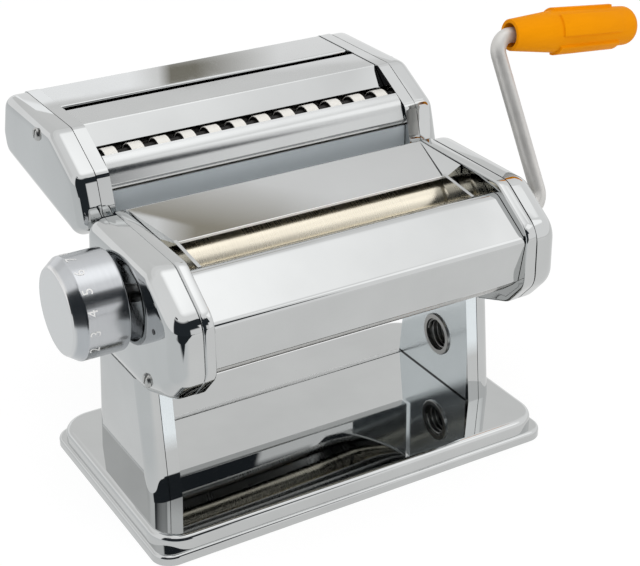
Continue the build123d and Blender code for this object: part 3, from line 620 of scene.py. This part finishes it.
def padded_grip():
    """The grip: a waisted body with a rounded end and four raised pads, bored for the rod."""
    rings = [(8.9, 7.3), (32.4, 9.8), (66.0, 9.4), (78.4, 9.0)]  # place along the grip, radius
    end_round = 5.5
    pad_start, pad_end, pad_half_angle, pad_raised = 33.0, 65.0, 28.0, 1.25
    mouth_r, mouth_reach = 5.6, 20.0
    bore_r, bore_middle, bore_reach = 3.7, 34.4, 69.2
    roll = math.radians(31.5)
    bpy.ops.object.select_all(action="DESELECT")
    bpy.ops.mesh.primitive_circle_add(
        vertices=72, radius=rings[0][1] * MM, fill_type="NGON", rotation=(0.0, math.pi / 2, 0.0)
    )
    grip = bpy.context.active_object
    bpy.ops.object.transform_apply(location=True, rotation=True, scale=True)
    bpy.ops.object.mode_set(mode="EDIT")
    bpy.ops.mesh.select_all(action="SELECT")
    bpy.ops.transform.translate(value=(rings[0][0] * MM, 0.0, 0.0))
    for (x, radius), (next_x, next_radius) in zip(rings, rings[1:]):
        bpy.ops.mesh.extrude_region_move(TRANSFORM_OT_translate={"value": ((next_x - x) * MM, 0.0, 0.0)})
        swell = next_radius / radius
        bpy.ops.transform.resize(value=(1.0, swell, swell), center_override=(next_x * MM, 0.0, 0.0))
    bpy.ops.mesh.select_all(action="SELECT")
    bpy.ops.mesh.normals_make_consistent(inside=False)
    bpy.ops.object.mode_set(mode="OBJECT")
    round_rim(grip, rings[-1][0], end_round, segments=8)

    def on_pad(middle, normal):
        around = math.degrees(math.atan2(middle.z, middle.y))
        from_pad = abs((around + 45.0) % 90.0 - 45.0)
        return pad_start < middle.x / MM < pad_end and from_pad < pad_half_angle and abs(normal.x) < 0.5

    pick_faces(grip, on_pad)
    bpy.ops.mesh.extrude_region_shrink_fatten(TRANSFORM_OT_shrink_fatten={"value": pad_raised * MM})
    bpy.ops.object.mode_set(mode="OBJECT")
    soften(grip, width=0.3, segments=2, angle=35.0)
    drill(grip, 0.0, 0.0, mouth_r, rings[0][0], mouth_reach)
    drill(grip, 0.0, 0.0, bore_r, bore_middle, bore_reach)
    smooth(grip)
    along = Vector(GRIP_AXIS).normalized()
    level = Vector((0.0, -math.cos(roll), math.sin(roll)))
    upward = level.cross(along).normalized()
    turn = Matrix((along, upward, along.cross(upward))).transposed()
    grip.matrix_world = Matrix.Translation(Vector(GRIP_CORNER) * MM) @ turn.to_4x4()
    settle(grip, "padded_grip", "grip", grip_plastic)
    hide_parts("crank_grip")


def dial_numeral(number, angle):
    """A numeral on the knob's rim, its top towards the knob's face."""
    bpy.ops.object.select_all(action="DESELECT")
    bpy.ops.object.text_add()
    text = bpy.context.active_object
    text.data.body = str(number)
    text.data.size = NUMERAL_SIZE * MM
    text.data.align_x = "CENTER"
    text.data.align_y = "CENTER"
    text.data.extrude = NUMERAL_RAISED * MM
    use_only(text)
    bpy.ops.object.convert(target="MESH")
    digit = bpy.context.active_object
    turn = math.radians(angle)
    outward = Vector((0.0, -math.cos(turn), math.sin(turn)))
    across = Vector((0.0, math.sin(turn), math.cos(turn)))
    upward = Vector((-1.0, 0.0, 0.0))
    centre = Vector((NUMERAL_X, KNOB_Y, KNOB_Z)) + outward * KNOB_R
    facing = Matrix((across, upward, outward)).transposed()
    digit.matrix_world = Matrix.Translation(centre * MM) @ facing.to_4x4()
    settle(digit, f"dial_numeral_{number}", "knob", white_ink)


def index_dot():
    """The dimple on the left cover that the dial is read against."""
    thick, lip, sunk = 0.5 * MM, 0.3 * MM, 0.12 * MM
    bpy.ops.object.select_all(action="DESELECT")
    bpy.ops.mesh.primitive_cylinder_add(
        vertices=32, radius=INDEX_R * MM, depth=thick, location=(-COVER_X * MM, INDEX_Y * MM, INDEX_Z * MM),
        rotation=(0.0, -math.pi / 2, 0.0),
    )
    dot = bpy.context.active_object
    pick_faces(dot, lambda middle, normal: normal.z > 0.9)
    bpy.ops.mesh.inset(thickness=lip, depth=-sunk)
    bpy.ops.object.mode_set(mode="OBJECT")
    settle(dot, "index_dot", "stand", dark_ink)


def slotted_screw(name, side, cover_x, y, z, body, node):
    """A screw with a low domed head and a slot, its shank running into the cover."""
    head_r, head_top_r, head, shank_r, shank = 3.2 * MM, 2.55 * MM, 1.4 * MM, 1.6 * MM, 12.0 * MM
    dome = 0.5 * MM
    slot_size, slot_rise, slot_turn = (1.5 * MM, 0.9 * MM, 8.0 * MM), 0.55, math.radians(24.0)
    middle = Vector((side * (cover_x * MM + head / 2), y * MM, z * MM))
    bpy.ops.object.select_all(action="DESELECT")
    bpy.ops.mesh.primitive_cone_add(
        vertices=40, radius1=head_r, radius2=head_top_r, depth=head, location=middle,
        rotation=(0.0, side * math.pi / 2, 0.0),
    )
    screw = bpy.context.active_object
    pick_faces(screw, lambda middle, normal: normal.z < -0.9)
    bpy.ops.mesh.inset(thickness=head_r - shank_r)
    bpy.ops.mesh.extrude_region_move(TRANSFORM_OT_translate={"value": (-side * shank, 0.0, 0.0)})
    pick_faces(screw, lambda middle, normal: normal.z > 0.9)
    bpy.ops.mesh.bevel(offset=dome, segments=4, affect="EDGES")
    bpy.ops.object.mode_set(mode="OBJECT")
    carve_box(screw, middle + Vector((side * head * slot_rise, 0.0, 0.0)), slot_size, slot_turn)
    smooth(screw, angle=35.0)
    settle(screw, name, body, steel)
    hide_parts(node)


def socket_coil():
    """The coil inside the clamp socket that the clamp's stem screws into."""
    wire, turns, pitch, steps = 0.62 * MM, 3, 2.5 * MM, 48
    set_in = 1.2
    bpy.ops.object.select_all(action="DESELECT")
    bpy.ops.mesh.primitive_circle_add(vertices=10, radius=wire, location=(0.0, 0.0, 0.0))
    coil = bpy.context.active_object
    bpy.ops.object.mode_set(mode="EDIT")
    bpy.ops.mesh.select_all(action="SELECT")
    bpy.ops.transform.translate(value=(0.0, SOCKET_R * MM - wire, 0.0))
    bpy.ops.object.mode_set(mode="OBJECT")
    winding = coil.modifiers.new("winding", "SCREW")
    winding.axis = "X"
    winding.angle = math.tau
    winding.screw_offset = pitch
    winding.iterations = turns
    winding.steps = steps
    winding.render_steps = steps
    bpy.ops.object.modifier_apply(modifier="winding")
    bpy.ops.object.mode_set(mode="EDIT")
    bpy.ops.mesh.select_all(action="SELECT")
    bpy.ops.mesh.remove_doubles(threshold=1e-7)
    bpy.ops.mesh.fill_holes(sides=0)
    bpy.ops.mesh.select_all(action="SELECT")
    bpy.ops.mesh.normals_make_consistent(inside=False)
    bpy.ops.object.mode_set(mode="OBJECT")
    smooth(coil, angle=50.0)
    coil.location = ((SOCKET_X + set_in) * MM, SOCKET_Y * MM, SOCKET_Z * MM)
    settle(coil, "clamp_socket_coil", "stand", steel)


SIDES = ((-1, "left"), (1, "right"))
for side, end in SIDES:
    pressed_cover(
        f"{end}_cover_shell", HEAD_CORNERS, side * COVER_SEAM_X, side * COVER_X, COVER_ROUND,
        HEAD_HOLES[end], "stand", f"{end}_end_cover",
    )
for side, end in SIDES:
    pressed_cover(
        f"cutter_{end}_shell", CUTTER_CORNERS, side * CUTTER_SEAM_X, side * CUTTER_COVER_X, CUTTER_ROUND,
        CUTTER_HOLES[end], "cutter", f"cutter_{end}_cover",
    )
rear_apron()
stand_tie_bar()
padded_grip()
rounded_plate("left_rim_plate", -1, LEFT_PLATE_ROUND, LEFT_BUSH_R, "left_side_plate")
rounded_plate("right_rim_plate", 1, RIGHT_PLATE_ROUND, RIGHT_BUSH_R, "right_side_plate")
for number in range(1, NUMERALS + 1):
    dial_numeral(number, NUMERAL_START + (number - 1) * NUMERAL_STEP)
index_dot()
for side, end in SIDES:
    slotted_screw(
        f"cover_screw_{end}", side, COVER_X, COVER_SCREW_Y, COVER_SCREW_Z, "stand", "cover_screws"
    )
    slotted_screw(
        f"cutter_screw_{end}", side, CUTTER_COVER_X, CUTTER_SCREW_Y, CUTTER_SCREW_Z, "cutter", "cutter_screws"
    )
socket_coil()


# Studio
def light_path(paint, *kinds):
    """1 for the kinds of ray that are named."""
    rays = {part.socket.name: part for part in paint.parts(paint.node("ShaderNodeLightPath"))}
    total = rays[kinds[0]]
    for kind in kinds[1:]:
        total = total + rays[kind]
    return total


def pale_floor():
    """White sheet under the machine. In mirrors it ends towards the camera, where the room is dark."""
    width, sunk, glow_share = 14.0, 0.4 * MM, 0.8
    camera_white = (1.10, 1.10, 1.10)
    mirrored_white, mirrored_left = (0.90, 0.90, 0.895), (0.74, 0.765, 0.775)
    mirrored_end = (0.02, 0.024, 0.028)
    bpy.ops.object.select_all(action="DESELECT")
    bpy.ops.mesh.primitive_plane_add(size=width, location=(0.0, 0.0, -sunk))
    floor = bpy.context.active_object
    floor.name = "floor"
    paint = Paint("pale_floor")
    where = paint.place()
    x, y, _ = paint.axes(where)
    speck = paint.noise(where, 40.0)
    tone = paint.tint(speck, (0.84, 0.84, 0.84), (0.88, 0.88, 0.88))
    past_front = paint.rise(y, -0.205, -0.235)
    past_crease = paint.rise(x + 0.35 * y, -0.262, -0.276)
    past_left = paint.rise(x - 1.6 * y, -0.15, 0.05)
    unlit = past_front * past_crease * past_left
    mirrored = paint.tint(paint.rise(x, -0.085, -0.15), mirrored_white, mirrored_left)
    mirrored = paint.tint(unlit, mirrored, mirrored_end)
    glossy = light_path(paint, "Is Glossy Ray")
    seen = paint.tint(glossy, camera_white, mirrored)
    lit = paint.node("ShaderNodeBsdfDiffuse", None, {"Color": tone})
    glow = paint.node("ShaderNodeEmission", None, {"Color": seen, "Strength": 1.0})
    shown = light_path(paint, "Is Camera Ray", "Is Glossy Ray", "Is Transmission Ray")
    share = shown * (glow_share + (1.0 - glow_share) * unlit * glossy)
    mixed = paint.node("ShaderNodeMixShader", None, {0: share, 1: lit, 2: glow})
    paint.node("ShaderNodeOutputMaterial", None, {"Surface": mixed})
    floor.data.materials.append(paint.material)


def mirrored_room(paint):
    """The room that the polished sheet mirrors: white, with bright and dark places.

    A place is a bearing from the front, rising towards the crank, and a height over the table, in degrees.
    """
    span, rise, fall, near = paint.span, paint.rise, paint.fall, paint.near
    x, y, z = paint.axes(paint.node("ShaderNodeTexCoord", out="Generated"))
    bearing = paint.node("ShaderNodeMath", {"operation": "ARCTAN2"}, {0: x, 1: -y}) * math.degrees(1.0)
    height = paint.node("ShaderNodeMath", {"operation": "ARCSINE"}, {0: z}) * math.degrees(1.0)
    shelf_line = height - 0.1 * abs(bearing) + 15.5

    # Lamp overhead, leaning towards the crank
    overhead = 0.2047 * x - 0.0361 * y + 0.978 * z
    room = paint.tint(rise(overhead, 0.9135, 0.99), (1.03, 1.03, 1.03), (1.58, 1.58, 1.58))

    # Grey wall at the back, above the line of a shelf
    wall = rise(abs(bearing), 105.0, 125.0) * rise(shelf_line, 19.15, 19.3)
    wall = wall * span(height, 35.0, 39.0, 1.0, 0.35) * fall(height, 50.0, 62.0)

    # Two bright panels on the crank's side
    side_panel = near(bearing, 80.5, 4.5, 7.5) * near(height, 53.0, 3.0, 5.0)
    corner_panel = near(bearing, 52.0, 12.0, 16.0) * near(height, 46.0, 6.0, 9.0)

    # Brown shelf at the back, with a bright window beside it
    shelf = rise(bearing, 151.5, 154.8) * span(bearing, 155.75, 156.25, 1.0, 0.12) * fall(bearing, 156.5, 157.5)
    shelf = shelf * span(shelf_line, 18.2, 18.6, 0.5, 1.0) * fall(shelf_line, 19.15, 19.3)
    shelf = shelf * rise(height, 16.0, 17.0)
    window = rise(bearing, 156.3, 157.4) * fall(shelf_line, 19.1, 19.2) * rise(height, 17.0, 18.0)

    # Olive board over the shelf, open at one upper corner
    board = rise(height, 38.6, 39.3) * span(height, 39.3, 41.2, 0.05, 1.0) * fall(height, 42.0, 46.0)
    opening = rise(height + 0.086 * bearing, 54.03, 54.17) * rise(bearing, 149.3, 151.3)
    board = board * near(bearing, 149.0, 3.5, 8.0) * (1.0 - opening)

    # Black flag on the knob's side, black ledge and the dark side behind the camera
    flag = near(bearing, -65.0, 8.4, 8.8) * rise(height, 49.0, 50.0) * fall(height, 54.95, 55.1)
    ledge = rise(bearing, 18.0, 20.0) * fall(bearing, 29.6, 30.4)
    ledge = ledge * rise(height, 22.0, 24.0) * fall(height, 43.0, 45.0)
    dark_side = rise(bearing, -80.0, -75.0) * fall(bearing, 21.4, 22.2) * fall(height, 42.0, 50.0)
    dark_side = dark_side * (1.0 - 0.85 * rise(bearing, 10.0, 14.0) * fall(height, 13.0, 17.0))

    for cover, tone in (
        (wall, (0.83, 0.83, 0.825)),
        (side_panel, (1.32, 1.32, 1.32)),
        (corner_panel, (1.45, 1.45, 1.45)),
        (shelf, (0.13, 0.115, 0.07)),
        (window, (1.25, 1.26, 1.27)),
        (board, (0.24, 0.205, 0.13)),
        (flag, (0.02, 0.02, 0.022)),
        (ledge, DARK_ROOM),
        (dark_side, DARK_ROOM),
    ):
        room = paint.tint(cover, room, tone)
    return room


def white_studio():
    """A white background for the eye, an even fill for matt surfaces and the room for mirrors."""
    white, fill_strength = (1.0, 1.0, 1.0, 1.0), 0.62
    world = bpy.data.worlds.new("studio")
    bpy.context.scene.world = world
    paint = Paint("studio", world)
    mirrored = paint.node("ShaderNodeBackground", None, {"Color": mirrored_room(paint), "Strength": 1.0})
    fill = paint.node("ShaderNodeBackground", None, {"Color": white, "Strength": fill_strength})
    backdrop = paint.node("ShaderNodeBackground", None, {"Color": white, "Strength": 1.0})
    glossy = light_path(paint, "Is Glossy Ray")
    lit = paint.node("ShaderNodeMixShader", None, {0: glossy, 1: fill, 2: mirrored})
    eye = light_path(paint, "Is Camera Ray", "Is Transmission Ray")
    mixed = paint.node("ShaderNodeMixShader", None, {0: eye, 1: lit, 2: backdrop})
    paint.node("ShaderNodeOutputWorld", None, {"Surface": mixed})


def softbox(name, place, aim, size, power):
    """A rectangular lamp that mirrors don't show."""
    bpy.ops.object.select_all(action="DESELECT")
    bpy.ops.object.light_add(type="AREA", location=place)
    lamp = bpy.context.active_object
    lamp.name = name
    lamp.data.shape = "RECTANGLE"
    lamp.data.size, lamp.data.size_y = size
    lamp.data.energy = power
    lamp.rotation_euler = (Vector(aim) - Vector(place)).to_track_quat("-Z", "Y").to_euler()
    lamp.visible_glossy = False


def photo_camera():
    """The camera at the photograph's place, as fitted to the machine's corners."""
    yaw, pitch, roll = math.radians(29.98), math.radians(26.82), math.radians(-0.73)
    sideways, upwards, backwards = 9.8 * MM, 73.52 * MM, 730.21 * MM
    focal_pixels, frame_pixels, sensor = 1529.78, 640.0, 36.0
    forward = Vector((math.sin(yaw) * math.cos(pitch), math.cos(yaw) * math.cos(pitch), -math.sin(pitch)))
    right = Vector((math.cos(yaw), -math.sin(yaw), 0.0))
    up = right.cross(forward)
    across = right * math.cos(roll) + up * math.sin(roll)
    upright = up * math.cos(roll) - right * math.sin(roll)
    place = across * sideways + upright * upwards - forward * backwards
    bpy.ops.object.select_all(action="DESELECT")
    bpy.ops.object.camera_add()
    camera = bpy.context.active_object
    camera.name = "photo_camera"
    turn = Matrix((across, upright, -forward)).transposed()
    camera.matrix_world = Matrix.Translation(place) @ turn.to_4x4()
    camera.data.sensor_width = sensor
    camera.data.lens = focal_pixels * sensor / frame_pixels
    camera.data.clip_start = 0.05
    camera.data.clip_end = 40.0
    bpy.context.scene.camera = camera


pale_floor()
white_studio()
softbox("top_softbox", place=(-0.1, -0.25, 1.3), aim=(0.0, 0.0, 0.1), size=(1.0, 0.8), power=4.0)
softbox("front_softbox", place=(0.5, -1.2, 0.25), aim=(0.0, 0.0, 0.05), size=(0.9, 0.4), power=2.6)
softbox("left_softbox", place=(-1.2, -0.7, 0.9), aim=(0.0, 0.0, 0.1), size=(0.6, 0.9), power=2.6)
photo_camera()
bpy.context.scene.view_settings.view_transform = "Standard"
